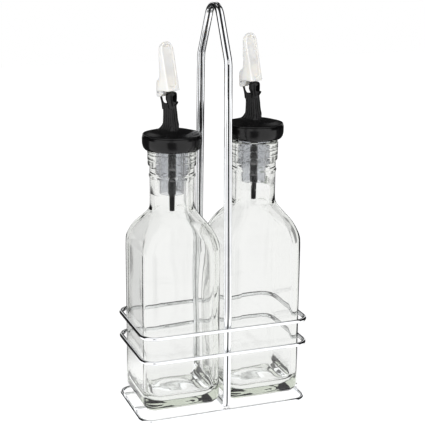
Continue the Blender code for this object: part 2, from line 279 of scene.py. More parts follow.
def rounded(corners, closed=True, step=5.0):
    """Points of a path through corners (u, v, radius), with each corner rounded by its radius."""
    points = []
    count = len(corners)
    for i, (u, v, radius) in enumerate(corners):
        here = Vector((u, v))
        if radius == 0 or (not closed and i in (0, count - 1)):
            points.append(here)
            continue
        before = (Vector(corners[i - 1][:2]) - here).normalized()
        after = (Vector(corners[(i + 1) % count][:2]) - here).normalized()
        turn = math.pi - before.angle(after)
        middle = here + (before + after).normalized() * radius / math.cos(turn / 2)
        spoke = here + before * radius * math.tan(turn / 2) - middle
        side = 1 if before.x * after.y - before.y * after.x < 0 else -1
        pieces = max(1, math.ceil(math.degrees(turn) / step))
        for k in range(pieces + 1):
            points.append(middle + Matrix.Rotation(side * turn * k / pieces, 2) @ spoke)
    return points


def circle(radius, z, steps, s=0.0):
    """A level ring round the point s on the s axis."""
    spokes = (2 * math.pi * k / steps for k in range(steps))
    return [(s + radius * math.cos(a), radius * math.sin(a), z) for a in spokes]


def turned(profile, steps=96):
    """A shell turned about z from (radius, z) points. A profile that starts on the axis also ends there."""
    if profile[0][0] > 0:
        return skin([circle(r, z, steps) for r, z in profile], joined=True)
    rings = [circle(r, z, steps) for r, z in profile[1:-1]]
    return skin(rings, (0, 0, profile[0][1]), (0, 0, profile[-1][1]))


def extruded(outline, half_t, edge=0.0):
    """A shell of an outline in the s-z plane, half_t to each side of it."""
    rings = []
    middle = sum((Vector(p) for p in outline), Vector((0, 0))) / len(outline)
    levels = ((-half_t, edge), (-half_t + edge, 0.0), (half_t - edge, 0.0), (half_t, edge))
    for t, inset in levels if edge else ((-half_t, 0.0), (half_t, 0.0)):
        shrunk = [Vector(p) + (middle - Vector(p)).normalized() * inset for p in outline]
        rings.append([(p.x, t, p.y) for p in shrunk])
    return skin(rings, (middle.x, -half_t, middle.y), (middle.x, half_t, middle.y))


def wire_shell(path, radius, sides=24, closed=True, flat=1.0):
    """A wire along a path in the u-v plane, as (u, v, w) points. flat squashes it along w."""
    rings = []
    count = len(path)
    for i, here in enumerate(path):
        ahead = path[(i + 1) % count] if closed or i < count - 1 else here
        behind = path[i - 1] if closed or i > 0 else here
        along = (ahead - here).normalized() + (here - behind).normalized()
        side = Vector((along.y, -along.x)).normalized()
        ring = []
        for k in range(sides):
            angle = 2 * math.pi * k / sides
            ring.append((*(here + side * radius * math.cos(angle)), flat * radius * math.sin(angle)))
        rings.append(ring)
    if closed:
        return skin(rings, joined=True)
    return skin(rings, (*path[0], 0.0), (*path[-1], 0.0))


def shift(s, t, z):
    """A place moved by millimetres."""
    return Matrix.Translation(Vector((s, t, z)) * MM)


VOXEL = 0.2  # side of the cells that fused shells are remade in
SMOOTHING_STEPS = 3
SMOOTHING_SHARE = 0.6


def fused(name, shells, cutters):
    """One moulded mesh from overlapping shells, less the cutters, with its edges softened."""
    helpers = []

    def helper(label, mesh):
        made = bpy.data.objects.new(label, mesh)
        COLLECTION.objects.link(made)
        helpers.append(made)
        return made

    def fuse(target, label):
        remesh = target.modifiers.new(label, "REMESH")
        remesh.mode = "VOXEL"
        remesh.voxel_size = VOXEL * MM

    body = helper(name + "_body", new_mesh(name, shells))
    fuse(body, "Fuse")
    for k, cutter in enumerate(cutters):
        boolean = body.modifiers.new(f"Cut {k}", "BOOLEAN")
        boolean.operation = "DIFFERENCE"
        boolean.solver = "EXACT"
        boolean.object = helper(f"{name}_cutter_{k}", new_mesh(name, [cutter]))
    fuse(body, "Fuse again")
    soften = body.modifiers.new("Soften", "SMOOTH")
    soften.iterations = SMOOTHING_STEPS
    soften.factor = SMOOTHING_SHARE
    graph = bpy.context.evaluated_depsgraph_get()
    mesh = bpy.data.meshes.new_from_object(body.evaluated_get(graph), depsgraph=graph)
    for made in helpers:
        bpy.data.objects.remove(made)
    mesh.name = name
    mesh.shade_smooth()
    return mesh


# ------------------------------------------------------------------ stand
BASE_LOW, BASE_HIGH = box_mm("base_loop")
WIRE_R = (BASE_HIGH.z - BASE_LOW.z) / 2
BASE_CORNER = 9.0
RAIL_CORNER = 10.0
HANDLE_PAIR_X = 1.49  # the two wires touch
SHADE_STRIP = (0.52, 1.3)  # half width and half depth of the dark strip between them, painted shade in their crevice
FOOT_BEND = 3.5
LEG_BEND = 40.0
LEG_STRAIGHT_Z = 74.0
BEND = (27.6, 259.5, 14.0)  # y, z and radius where the legs turn towards the peak
PEAK_Z = 311.7  # where the two slopes would meet
PEAK_RADIUS = 12.9
UPRIGHT = Matrix(((0, 0, 1, 0), (1, 0, 0, 0), (0, 1, 0, 0), (0, 0, 0, 1)))  # u, v, w to y, z, x


def rectangle(half_u, half_v, radius):
    signs = ((1, 1), (-1, 1), (-1, -1), (1, -1))
    return [(u * half_u, v * half_v, radius) for u, v in signs]


def build_loop(node, corner, material):
    low, high = box_mm(node)
    path = rounded(rectangle(high.x - WIRE_R, high.y - WIRE_R, corner))
    mesh = new_mesh(node + "_wire", [wire_shell(path, WIRE_R)])
    place = shift(0, 0, (low.z + high.z) / 2)
    add_piece(node + "_wire", mesh, place, material, "stand", "chrome_wire", node)


def build_handle(material):
    low, high = box_mm("handle_wire_left")
    leg_y, foot_z = high.y - WIRE_R, low.z + WIRE_R
    half = [(leg_y, foot_z, FOOT_BEND), (leg_y, LEG_STRAIGHT_Z, LEG_BEND), BEND]
    mirrored = [(-y, z, radius) for y, z, radius in reversed(half)]
    path = rounded([*half, (0.0, PEAK_Z, PEAK_RADIUS), *mirrored], step=4.0)
    # A dark strip between the two wires paints the shade in their crevice.
    half_width, half_depth = SHADE_STRIP
    shade_strip = new_mesh("handle_painted_shade_strip", [wire_shell(path, half_depth, 16, flat=half_width / half_depth)])
    add_piece("handle_painted_shade_strip", shade_strip, UPRIGHT, painted_shade_strip_material(), "stand", "chrome_wire")
    for side, x in zip(SIDES, (-HANDLE_PAIR_X, HANDLE_PAIR_X)):
        mesh = new_mesh(f"handle_{side}", [wire_shell(path, WIRE_R)])
        place = shift(x, 0, 0) @ UPRIGHT
        node = f"handle_wire_{side}"
        add_piece(f"handle_{side}", mesh, place, material, "stand", "chrome_wire", node)


def build_floor_bars(material):
    stretches = 4
    for side in SIDES:
        for end in ENDS:
            node = f"floor_bar_{side}_{end}"
            low, high = box_mm(node)
            y, z = (low.y + high.y) / 2, (low.z + high.z) / 2
            path = [Vector((low.x + (high.x - low.x) * k / stretches, y)) for k in range(stretches + 1)]
            mesh = new_mesh(node + "_wire", [wire_shell(path, WIRE_R, closed=False)])
            add_piece(node + "_wire", mesh, shift(0, 0, z), material, "stand", "chrome_wire", node)


BEAD_UNEVENNESS = 0.18
BEAD_WAVES = 1.7


def bead(centre, size, seed):
    """A small uneven blob of weld metal. size is its three half widths."""
    rings = []
    rows, spokes = 9, 16
    for i in range(1, rows):
        tilt = math.pi * i / rows
        ring = []
        for k in range(spokes):
            turn = 2 * math.pi * k / spokes
            way = Vector((math.sin(tilt) * math.cos(turn), math.sin(tilt) * math.sin(turn), math.cos(tilt)))
            swell = 1 + BEAD_UNEVENNESS * noise.noise(way * BEAD_WAVES + Vector((seed, 0, 0)))
            ring.append([c + w * r * swell for c, w, r in zip(centre, way, size)])
        rings.append(ring)
    top, bottom = list(centre), list(centre)
    top[2] += size[2]
    bottom[2] -= size[2]
    return skin(rings, top, bottom)


# half widths of the beads: leg to rail, leg to base, bar to base, bar's end to leg, one leg to the other
RAIL_BEAD = (1.1, 0.5, 1.1)
FOOT_BEAD = (1.3, 1.3, 0.45)
BAR_BEAD = (1.2, 1.2, 0.45)
BUTT_BEAD = (0.6, 1.1, 1.1)
PAIR_BEAD = (0.5, 0.75, 2.2)
RAIL_GAP = 0.1  # from a wire's surface to the middle of its bead
BASE_GAP = 0.15
BUTT_GAP = 0.2
LEG_BEAD_Z = 57.2
SLOPE_BEAD = (30.2, 150.0)  # y and z
BEND_GAP = 0.6


def build_welds(material):
    """Weld metal in the gaps between crossing wires, and at three heights between the two handle wires."""
    leg_y = box_mm("handle_wire_left")[1].y
    bar_low, bar_high = box_mm("floor_bar_left_front")
    bar_y, bar_z = (bar_low.y + bar_high.y) / 2, (bar_low.z + bar_high.z) / 2
    on_base = BASE_HIGH.z + BASE_GAP
    pair_places = ((leg_y - WIRE_R, LEG_BEAD_Z), SLOPE_BEAD, (BEND[0] + BEND_GAP, BEND[1]))
    shells = []

    def weld(x, y, z, size):
        shells.append(bead((x, y, z), size, len(shells)))

    for y_side in (-1, 1):
        for x_side in (-1, 1):
            x = x_side * HANDLE_PAIR_X
            for node in ("lower_rail", "upper_rail"):
                low, high = box_mm(node)
                weld(x, y_side * (leg_y + RAIL_GAP), (low.z + high.z) / 2, RAIL_BEAD)
            weld(x, y_side * (leg_y - WIRE_R), on_base, FOOT_BEAD)
            weld(x_side * (BASE_HIGH.x - WIRE_R), y_side * bar_y, on_base, BAR_BEAD)
            weld(x_side * (HANDLE_PAIR_X + WIRE_R + BUTT_GAP), y_side * bar_y, bar_z, BUTT_BEAD)
        for y, z in pair_places:
            weld(0.0, y_side * y, z, PAIR_BEAD)
    mesh = new_mesh("stand_welds", shells, crease=70.0)
    add_piece("stand_welds", mesh, Matrix.Identity(4), material, "stand", "chrome_wire")


# ------------------------------------------------------------------ bottle
BODY_CORNER = 9.0
HEEL = 6.0
HEEL_LEAST_CORNER = 5.0
FLOOR_THICKNESS = 5.5
INNER_HEEL = 10.0
INNER_HEEL_LEAST_CORNER = 7.6
NECK_R = 16.2
BORE_R = 12.5
ARC_POINTS = 13  # round one corner of a ring
FLAT_POINTS = 6
HEEL_STEPS = 10
INNER_HEEL_STEPS = 12
WALL_STEPS = 12
SHOULDER_STEPS = 4
WAVE_LENGTH = 21.0  # of the unevenness of blown glass
WAVE_STRETCH = 0.6
OUTER_UNEVENNESS = 0.12
INNER_UNEVENNESS = 0.55
INNER_SEED = 5
BOTTLE_SEEDS = {"left": 0.0, "right": 11.0}
PUNT_TOP = 2.75
DOME_RISE = 2.5
# half width, corner radius and height above the foot, here and in the next three
SHOULDER = (
    (29.25, 9.0, 108.0),
    (29.25, 9.0, 115.4),
    (28.95, 9.3, 121.9),
    (27.4, 10.6, 127.4),
    (24.9, 11.9, 132.9),
    (21.3, 13.7, 137.9),
    (18.2, 15.2, 142.4),
    (16.7, 16.4, 145.9),
    (16.25, 16.25, 149.2),
    (16.2, 16.2, 152.9),
    (16.2, 16.2, 157.4),
    (16.2, 16.2, 164.0),
)
INNER_SHOULDER = (
    (12.5, 12.5, 167.0),
    (12.5, 12.5, 157.5),
    (12.6, 12.6, 150.4),
    (12.8, 12.8, 146.4),
    (13.5, 13.3, 143.3),
    (15.7, 13.2, 139.8),
    (18.7, 12.3, 135.7),
    (21.5, 11.2, 131.6),
    (23.8, 10.0, 127.4),
    (25.3, 8.9, 123.0),
    (26.1, 8.1, 119.0),
    (26.25, 7.6, 115.4),
    (26.25, 7.6, 108.0),
)
PUNT = (
    (6.0, 6.0, 2.65),
    (12.0, 10.0, 2.3),
    (17.0, 10.0, 1.6),
    (20.5, 9.0, 0.8),
    (22.4, 7.0, 0.1),
)
INNER_DOME = (
    (11.0, 9.0, FLOOR_THICKNESS + 1.3),
    (6.0, 6.0, FLOOR_THICKNESS + 2.2),
)


def smooth_through(rows, steps):
    """Rows with steps more of them between each two, on one smooth curve through them all."""
    made = []
    for i in range(len(rows) - 1):
        before, first, second, after = (
            Vector(rows[max(0, min(len(rows) - 1, i + k))]) for k in (-1, 0, 1, 2)
        )
        for k in range(steps):
            x = k / steps
            made.append(
                0.5
                * (
                    2 * first
                    + (second - before) * x
                    + (2 * before - 5 * first + 4 * second - after) * x * x
                    + (3 * first - before - 3 * second + after) * x**3
                )
            )
    return [*made, Vector(rows[-1])]


def square_ring(half, corner, z, unevenness, seed):
    """A square with round corners, a circle where half equals corner, pushed in and out a little."""
    corner = min(corner, half)
    straight = half - corner
    inset = math.pi / 4 / ARC_POINTS * (corner / half) ** 2
    ring = []
    for quarter in range(4):
        turn = Matrix.Rotation(quarter * math.pi / 2, 2)
        stretch = [Vector((half, straight * (2 * k / FLAT_POINTS - 1))) for k in range(1, FLAT_POINTS)]
        for k in range(ARC_POINTS):
            angle = inset + (math.pi / 2 - 2 * inset) * k / (ARC_POINTS - 1)
            spoke = Vector((math.cos(angle), math.sin(angle)))
            stretch.append(Vector((straight, straight)) + spoke * corner)
        for flat in stretch:
            x, y = turn @ flat
            sample = Vector((x, y, z * WAVE_STRETCH)) / WAVE_LENGTH + Vector((seed, 0, 0))
            swell = 1 + unevenness * noise.noise(sample) / half
            ring.append((x * swell, y * swell, z))
    return ring


def heel_rows(half, corner, floor, radius, steps, least):
    """The rounding from the floor up to the walls. least is the least corner radius on the way."""
    rows = []
    for k in range(steps + 1):
        angle = math.pi / 2 * k / steps
        inwards = radius * (1 - math.sin(angle))
        z = floor + radius * (1 - math.cos(angle))
        rows.append((half - inwards, max(corner - inwards, least), z))
    return rows


def level_rows(half, corner, low, high, steps):
    """Rows of a straight wall, without its two ends."""
    return [(half, corner, low + (high - low) * k / steps) for k in range(1, steps)]


def finish_rows(height):
    """The ringed neck and the mouth, as radius and height above the foot, and the bore under it."""
    corners = [
        (NECK_R, height - 34.6, 0.0),
        (NECK_R, height - 23.4, 0.8),
        (NECK_R + 0.55, height - 22.4, 0.5),
        (NECK_R + 0.55, height - 21.2, 0.5),
        (NECK_R, height - 20.2, 0.8),
        (NECK_R, height - 15.6, 1.2),
        (NECK_R + 1.3, height - 13.6, 0.8),
        (NECK_R + 1.3, height - 11.3, 0.4),
        (NECK_R + 0.9, height - 10.8, 0.3),
        (NECK_R + 1.4, height - 10.2, 0.5),
        (NECK_R + 1.4, height - 6.2, 0.4),
        (NECK_R + 1.0, height - 5.7, 0.3),
        (NECK_R + 1.5, height - 5.1, 0.5),
        (NECK_R + 1.5, height, 1.4),
        (BORE_R, height, 0.9),
        (BORE_R, height - 25.0, 0.0),
    ]
    return [(r, r, z) for r, z in rounded(corners, closed=False, step=18.0)]


def build_bottle(side, material):
    """One shell: up the outside from the punt, over the lip and down the inside."""
    node = f"bottle_{side}"
    seed = BOTTLE_SEEDS[side]
    low, high = box_mm(node)
    half = (high.x - low.x) / 2
    height = high.z - low.z
    outside = heel_rows(half, BODY_CORNER, 0.0, HEEL, HEEL_STEPS, HEEL_LEAST_CORNER)
    outside += level_rows(half, BODY_CORNER, HEEL, SHOULDER[0][2], WALL_STEPS)
    outside += smooth_through(SHOULDER, SHOULDER_STEPS)
    outside += finish_rows(height)
    *inner_wall, inner_top = INNER_SHOULDER[-1]
    heel = (FLOOR_THICKNESS, INNER_HEEL, INNER_HEEL_STEPS, INNER_HEEL_LEAST_CORNER)
    inside = smooth_through(INNER_SHOULDER, SHOULDER_STEPS)
    inside += reversed(level_rows(*inner_wall, FLOOR_THICKNESS + INNER_HEEL, inner_top, WALL_STEPS))
    inside += reversed(heel_rows(*inner_wall, *heel))
    rings = [square_ring(*row, 0.0, seed) for row in PUNT]
    rings += [square_ring(*row, OUTER_UNEVENNESS, seed) for row in outside]
    rings += [square_ring(*row, INNER_UNEVENNESS, seed + INNER_SEED) for row in inside]
    rings += [square_ring(*row, 0.0, seed) for row in INNER_DOME]
    shell = skin(rings, (0, 0, PUNT_TOP), (0, 0, FLOOR_THICKNESS + DOME_RISE))
    mesh = new_mesh(f"glass_{side}", [shell], crease=60.0)
    place = shift((low.x + high.x) / 2, (low.y + high.y) / 2, low.z)
    add_piece(f"glass_{side}", mesh, place, material, node, "clear_glass", node)


# ------------------------------------------------------------------ pourer
DOME_TOP = 209.6
PIN_R = 0.7
PIN_HALF = 2.6
EYE_PLAY = 0.12
COLLAR_BORE_R = 18.1  # round the mouth of the bottle
COLLAR_SEAT_R = 15.8  # round the cap's rim
COLLAR_LEDGE = 2.9
PLUG_R = 15.5  # of the cap's underside and of the stopper's flange
COLLAR_LOW, COLLAR_HIGH = box_mm("collar_ring_left")
COLLAR_R = (COLLAR_HIGH.x - COLLAR_LOW.x) / 2
CAP_LOW, CAP_HIGH = box_mm("spout_cap_left")
STOPPER_LOW, STOPPER_HIGH = box_mm("stopper_left")
TUBE_LOW, TUBE_HIGH = box_mm("pour_tube_left")
LIFT = {"left": 0.0, "right": box_mm("collar_ring_right")[0].z - COLLAR_LOW.z}
JOINTS = {joint["name"]: joint for joint in frame["joints"]}


def pourer_frame(side):
    """The pourer's own frame, from its bottle's axis and the axis of its hinge."""
    low, high = box_mm(f"collar_ring_{side}")
    across = Vector(JOINTS[f"lever_{side}_hinge"]["axis"])
    turn = math.atan2(across.x, -across.y)
    return shift((low.x + high.x) / 2, (low.y + high.y) / 2, LIFT[side]) @ Matrix.Rotation(turn, 4, "Z")


def hinge_place(side):
    """The hinge in the pourer's own frame, as s and z without the pourer's lift."""
    pivot = pourer_frame(side).inverted() @ Vector(JOINTS[f"lever_{side}_hinge"]["pos_m"])
    return pivot.x / MM, pivot.z / MM


def collar_mesh():
    """The ring round the bottle's mouth and the cap's rim."""
    low, high = COLLAR_LOW.z, COLLAR_HIGH.z
    profile = rounded(
        [
            (COLLAR_R - 0.35, high, 0.35),
            (COLLAR_R, high - 1.6, 2.0),
            (COLLAR_R - 0.05, low + 4.2, 4.0),
            (COLLAR_R - 0.75, low + 1.4, 2.5),
            (COLLAR_R - 2.0, low, 0.7),
            (COLLAR_BORE_R, low, 0.3),
            (COLLAR_BORE_R, low + COLLAR_LEDGE, 0.0),
            (COLLAR_SEAT_R, low + COLLAR_LEDGE, 0.0),
            (COLLAR_SEAT_R, high, 0.3),
        ],
        step=12.0,
    )
    return new_mesh("collar", [turned(profile)])


def dome_mesh():
    """The low dome, with the cap's underside."""
    rim = CAP_LOW.z + 3.5
    edge = COLLAR_R - 0.3
    profile = rounded(
        [
            (0.0, DOME_TOP, 0.0),
            (8.0, DOME_TOP - 0.1, 8.0),
            (15.0, DOME_TOP - 1.1, 12.0),
            (19.6, DOME_TOP - 2.5, 5.0),
            (edge, rim + 0.75, 0.7),
            (edge - 0.1, rim, 0.25),
            (PLUG_R, rim, 0.0),
            (PLUG_R, CAP_LOW.z, 0.3),
            (0.0, CAP_LOW.z, 0.0),
        ],
        closed=False,
        step=8.0,
    )
    return new_mesh("dome", [turned(profile)])


def stopper_mesh():
    """The flange, the fins folded up against the bore, and the plug's bare hollow end."""
    low, high = STOPPER_LOW.z, STOPPER_HIGH.z
    core, wall, fin = 9.1, 1.1, 12.2
    first_drop, pitch, count = 4.6, 5.1, 4
    disc = core + 1.9
    inner = core - wall
    tube_hole = 3.1
    corners = [
        (PLUG_R, high, 0.3),
        (PLUG_R, high - 2.0, 0.3),
        (fin - 0.6, high - 2.0, 0.3),
    ]
    for k in range(count):
        tip = high - first_drop - k * pitch
        corners += [(fin - 0.75, tip + 0.1, 0.15), (fin, tip - 0.1, 0.2), (fin - 0.35, tip - 2.4, 2.0)]
    last = high - first_drop - (count - 1) * pitch
    corners += [
        (fin - 1.2, last - 3.6, 0.8),
        (core + 0.2, last - 3.9, 0.5),
        (core, last - 5.2, 0.5),
        (disc, last - 5.6, 0.25),
        (disc, last - 6.2, 0.25),
        (core, last - 6.8, 0.5),
        (core, low, 0.7),
        (inner, low, 0.4),
        (inner - 0.2, high - 4.0, 0.6),
        (tube_hole, high - 3.4, 0.2),
        (tube_hole, high, 0.2),
    ]
    return new_mesh("stopper", [turned(rounded(corners, step=24.0), 72)])


def tube_mesh():
    """The tube's flange, its stretch through the stopper, and its thinner tapered end."""
    low, high = TUBE_LOW.z, TUBE_HIGH.z
    shoulder = STOPPER_LOW.z - 0.3
    flange, flange_thickness, outer, bore = 6.0, 1.2, 2.9, 1.1
    corners = [
        (flange, high, 0.3),
        (flange, high - flange_thickness, 0.3),
        (outer, high - flange_thickness, 0.0),
        (outer, shoulder, 0.5),
        (2.05, shoulder - 0.2, 0.0),
        (1.8, low, 0.25),
        (bore, low, 0.15),
        (bore, high, 0.2),
    ]
    return new_mesh("tube", [turned(rounded(corners, step=24.0), 40)])


REEDS = 13
REED_DEPTH = 0.95
REED_POINTS = 16


def teardrop(front, front_r, back, back_r, grow, z):
    """A reeded ring round two circles on the s axis. grow(way) pushes it out, by the way that it faces."""
    count = REEDS * REED_POINTS
    apart = front - back
    leave = math.acos((back_r - front_r) / apart)
    straight = math.sqrt(apart**2 - (front_r - back_r) ** 2)
    half_length = leave * front_r + straight + (math.pi - leave) * back_r
    ring = []
    for k in range(count):
        travel = 2 * half_length * k / count
        mirrored = -1 if travel > half_length else 1
        run = 2 * half_length - travel if mirrored < 0 else travel
        if run < leave * front_r:
            angle = run / front_r
            s, t = front + front_r * math.cos(angle), front_r * math.sin(angle)
        elif run < leave * front_r + straight:
            angle = leave
            along = run - leave * front_r
            s = front + front_r * math.cos(leave) - along * math.sin(leave)
            t = front_r * math.sin(leave) + along * math.cos(leave)
        else:
            angle = leave + (run - leave * front_r - straight) / back_r
            s, t = back + back_r * math.cos(angle), back_r * math.sin(angle)
        groove = REED_DEPTH * (1 - abs(math.cos(math.pi * REEDS * k / count)))
        out = grow(math.cos(angle)) - groove
        ring.append((s + out * math.cos(angle), mirrored * (t + out * math.sin(angle)), z))
    return ring


def flare(height, radius):
    """How far a fillet of this radius stands out at this height above its foot."""
    if height >= radius:
        return 0.0
    return radius - math.sqrt(radius**2 - (radius - height) ** 2)


SPOUT_FOOT = DOME_TOP - 1.3
FOOT_RISES = (-1.2, 0, 0.15, 0.4, 0.8, 1.4, 2.2, 3.2, 4.4, 5.6)
FLARE_R = 4.6  # at the column's sides
FLARE_LEAN = 3.9  # so much less in front and more behind
# height, then centre and radius of the front and of the back circle
COLUMN_ROWS = (
    *((SPOUT_FOOT + rise, 2.25, 3.45, -6.6, 1.6) for rise in FOOT_RISES),
    (SPOUT_FOOT + 7.2, 1.95, 3.3, -6.8, 1.6),
    (218.0, 1.6, 3.1, -6.85, 1.5),
    (221.6, 1.3, 3.0, -7.0, 1.33),
    (225.0, 0.85, 2.9, -7.5, 1.2),
    (228.0, 0.45, 2.85, -8.0, 1.0),
)


def column_shell():
    """The reeded column, flared at its foot, most of all towards the back."""
    rings = []
    for z, *outline in COLUMN_ROWS:
        rise = max(0.0, z - SPOUT_FOOT)
        rings.append(teardrop(*outline, lambda way, rise=rise: flare(rise, FLARE_R - FLARE_LEAN * way), z))
    return skin(rings, (-2.5, 0, rings[0][0][2]), (-2.5, 0, rings[-1][0][2]))


def hood_shell():
    """The round hood over the mouth, with a rounded top."""
    top = CAP_HIGH.z - 0.4
    rounding, steps = 2.0, 7
    hood_s, hood_r = -0.6, 4.05
    rows = [(0.5, 2.8, 225.0), (0.2, 3.1, 227.5), (-0.2, 3.6, 229.5), (hood_s, hood_r, 231.5)]
    for k in range(steps + 1):
        angle = math.pi / 2 * k / steps
        radius = hood_r - rounding + rounding * math.cos(angle)
        rows.append((hood_s, radius, top - rounding + rounding * math.sin(angle)))
    rings = [circle(radius, z, 64, s) for s, radius, z in rows]
    return skin(rings, (0, 0, rows[0][2]), (hood_s, 0, top + 0.05))


PRONG_FRONT = (
    (-9.3, 223.5),
    (-7.0, 223.5),
    (-7.4, 227.6),
    (-8.6, 228.5),
    (-9.5, 229.9),
    (-10.3, 232.4),
)
PRONG_BACK = ((-11.6, 232.4), (-10.5, 229.6), (-9.7, 226.5))
PRONG_EYE_R = 1.7
PRONG_EYE_DEGREES = range(-20, 197, 18)
PRONG_HALF = 0.7
LIP_HALF = 1.6
LIP = ((1.0, 226.4), (2.8, 226.6), (4.6, 229.0), (4.9, 229.9), (4.3, 230.3), (1.0, 230.4))


def prong_shell(pin_s, pin_z):
    """The prong behind the hood, with a round end about the pin."""
    outline = list(PRONG_FRONT)
    for degrees in PRONG_EYE_DEGREES:
        angle = math.radians(degrees)
        outline.append((pin_s + PRONG_EYE_R * math.cos(angle), pin_z + PRONG_EYE_R * math.sin(angle)))
    return extruded([*outline, *PRONG_BACK], PRONG_HALF)


def pin_hole(s, z, half_t):
    """What is cut out for the pin, with a little play."""
    return extruded([(p[0] + s, p[1] + z) for p in circle(PIN_R + EYE_PLAY, 0, 32)], half_t)


def spout_mesh():
    """The column, hood, prong and lip in one, with the mouth, the bore and the pin's eye cut out."""
    pin_s, pin_z = hinge_place("left")
    corners = [(-2.1, 230.3, 0.3), (2.1, 230.3, 0.3), (2.1, 234.8, 1.6), (-2.1, 234.8, 1.6)]
    arch = rounded(corners, step=15.0)
    mouth_from, mouth_to, mouth_z = 0.7, 9.0, 232.5
    mouth_rings = [[(s, p.x, p.y) for p in arch] for s in (mouth_from, mouth_to)]
    mouth = skin(mouth_rings, (mouth_from, 0, mouth_z), (mouth_to, 0, mouth_z))
    bore_line = [(1.5, 200.0), (1.2, 220.0), (0.6, 233.6)]
    bore_ends = [(s, 0, z) for s, z in (bore_line[0], bore_line[-1])]
    bore = skin([circle(1.9, z, 32, s) for s, z in bore_line], *bore_ends)
    shells = [column_shell(), hood_shell(), prong_shell(pin_s, pin_z), extruded(LIP, LIP_HALF)]
    return fused("spout", shells, [mouth, bore, pin_hole(pin_s, pin_z, 3.0)])


# the lever's own frame has s towards its face, t across it and h along it, from the hinge
FLAP_HALF_WIDTH = 6.1
FLAP_ARCH_R = 5.9
FLAP_TOP = 36.1
FACE_FOOT = (3.0, 13.2)  # h and s of the face near its foot
FACE_RUN, FACE_FALL = 29.3, 6.3
BACK_LINE = ((1.9, 2.9), (5.4, 2.9), (7.6, 3.8), (10.5, 4.6), (31.5, 4.1), (34.6, 4.5), (35.9, 5.3))
BLADE_FOOT = 1.9
BLADE_HEIGHTS = (2.3, 5.0, 8.0, 12.0, 18.0, 24.0, 28.0, 30.0, 31.5, 32.8, 33.9, 34.7, 35.3, 35.7, 35.9)
# h and half width of the sunken panel in the face
PANEL = (
    (4.6, 1.4),
    (4.9, 2.3),
    (5.6, 3.1),
    (7.0, 3.8),
    (12.0, 4.2),
    (20.0, 4.5),
    (28.0, 4.7),
    (30.5, 4.55),
    (32.3, 3.9),
    (33.5, 2.9),
    (34.2, 1.6),
)
PANEL_GROOVE = 1.5  # depth of the groove round the panel
PANEL_FLOOR = 0.8
# where the face is taken, h, gap to the face there and half width, of the hollow in the back
POCKET = ((12.0, 13.2, 2.2, 4.4), (12.0, 14.4, 2.2, 4.6), (27.5, 27.5, 1.9, 4.5), (28.5, 28.5, 2.4, 4.1))
EAR = (
    (5.4, 12.8),
    (2.8, 11.5),
    (0.6, 9.8),
    (-1.2, 8.1),
    (-1.8, 6.6),
    (-1.8, -2.2),
    (-1.2, -3.2),
    (0.0, -3.5),
    (2.4, -3.0),
    (3.6, -2.2),
    (4.3, -1.0),
    (4.6, 0.8),
    (5.0, 2.5),
    (5.4, 2.6),
)
EARS_HALF = 2.7
SLOT_HALF = 1.3
EAR_SLOT = ((-6.0, -6.0), (2.8, -6.0), (2.8, 2.6), (1.6, 3.4), (-6.0, 3.4))


def face_s(h):
    """How far the lever's face is from the hinge at h."""
    return FACE_FOOT[1] - (h - FACE_FOOT[0]) * FACE_FALL / FACE_RUN


def back_s(h):
    """How far the lever's back is from the hinge at h."""
    for (low, s_low), (high, s_high) in zip(BACK_LINE, BACK_LINE[1:]):
        if h <= high:
            return s_low + (s_high - s_low) * (h - low) / (high - low)
    return BACK_LINE[-1][1]


def lever_section(s_low, s_high, half_t, h, radius):
    """A level ring of the lever, a rectangle with round corners."""
    middle, half_s = (s_low + s_high) / 2, (s_high - s_low) / 2
    radius = min(radius, half_s * 0.98, half_t * 0.98)
    corners = rounded(rectangle(half_s, half_t, radius), step=15.0)
    return [(middle + p.x, p.y, h) for p in corners]


def lever_loft(levels):
    """A closed shell through sections of the lever."""
    rings = [lever_section(*level) for level in levels]
    ends = [(sum(p[0] for p in ring) / len(ring), 0.0, ring[0][2]) for ring in (rings[0], rings[-1])]
    return skin(rings, *ends)


def blade_shell():
    """The wedge-shaped blade, with an arched top."""
    h = BLADE_FOOT
    levels = [(back_s(h) + 0.1, face_s(h) - 0.4, FLAP_HALF_WIDTH - 0.4, h, 0.6)]
    for h in BLADE_HEIGHTS:
        up = max(0.0, h - (FLAP_TOP - FLAP_ARCH_R))
        arched = FLAP_HALF_WIDTH - FLAP_ARCH_R + math.sqrt(FLAP_ARCH_R**2 - up**2)
        levels.append((back_s(h) - 0.1, face_s(h) + 0.1, min(FLAP_HALF_WIDTH, arched), h, 0.6))
    return lever_loft(levels)


def panel_shell():
    """What is cut from the face: a flat panel with a deeper groove round it."""
    rings = []
    for i, (h, half_t) in enumerate(PANEL):
        at_end = i < 2 or i > len(PANEL) - 3
        middle = PANEL_GROOVE if at_end else PANEL_FLOOR
        profile = [(-middle, half_t - 0.55), (-PANEL_GROOVE, half_t - 0.5)]
        profile += [(-PANEL_GROOVE, half_t), (3.0, half_t)]
        profile += [(s, -t) for s, t in reversed(profile)]
        rings.append([(face_s(h) + s, t, h) for s, t in profile])
    ends = [(face_s(h), 0.0, h) for h in (PANEL[0][0], PANEL[-1][0])]
    return skin(rings, *ends)


def flap_mesh():
    """The lever, round its hinge: a blade with a framed face and a hollow back, and two ears."""
    pocket = lever_loft([(-2.0, face_s(at) - gap, half_t, h, 0.8) for at, h, gap, half_t in POCKET])
    ears = extruded(EAR, EARS_HALF, edge=0.3)
    slot = extruded(EAR_SLOT, SLOT_HALF)
    return fused("flap", [blade_shell(), ears], [panel_shell(), pocket, slot, pin_hole(0, 0, 4.0)])


def pin_mesh():
    """A short pin with rounded ends."""
    end = [(0.0, PIN_HALF, 0.0), (PIN_R, PIN_HALF, 0.15)]
    other_end = [(r, -z, rounding) for r, z, rounding in reversed(end)]
    profile = rounded([*end, *other_end], closed=False, step=20.0)
    return new_mesh("pin", [turned(profile, 32)])


